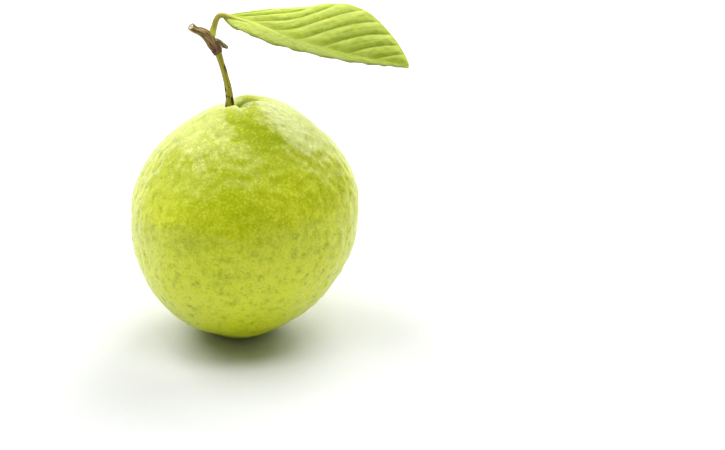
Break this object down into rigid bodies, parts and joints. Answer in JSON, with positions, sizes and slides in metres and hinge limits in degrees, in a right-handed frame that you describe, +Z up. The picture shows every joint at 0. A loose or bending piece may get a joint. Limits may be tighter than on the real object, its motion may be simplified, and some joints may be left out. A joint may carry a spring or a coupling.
{
  "type": "guava",
  "caption": "Whole pale green guava as picked, with its stalk, a cut bit of twig and a leaf, resting on a small flat spot.",
  "frame": {"origin": "middle of the small flat spot on the underside that the fruit rests on", "axes": "+Z up from the flat spot towards the stalk, +X towards the leaf's tip, +Y towards the back, away from the leaf's near edge"},
  "size_m": [0.1048, 0.0872, 0.1315],
  "materials": {
    "fruit_skin": "satin",
    "green_stalk": "satin",
    "twig_bark": "matte",
    "leaf_green": "satin",
    "dried_calyx": "matte"
  },
  "bodies": {
    "root": {"fruit": "fruit_skin", "fruit_stalk": "green_stalk", "twig": "twig_bark", "bud_stub": "twig_bark", "leaf": "leaf_green", "style_remnant": "dried_calyx", "sepal_1": "dried_calyx", "sepal_2": "dried_calyx", "sepal_3": "dried_calyx", "sepal_4": "dried_calyx", "sepal_5": "dried_calyx"}
  },
  "joints": []
}
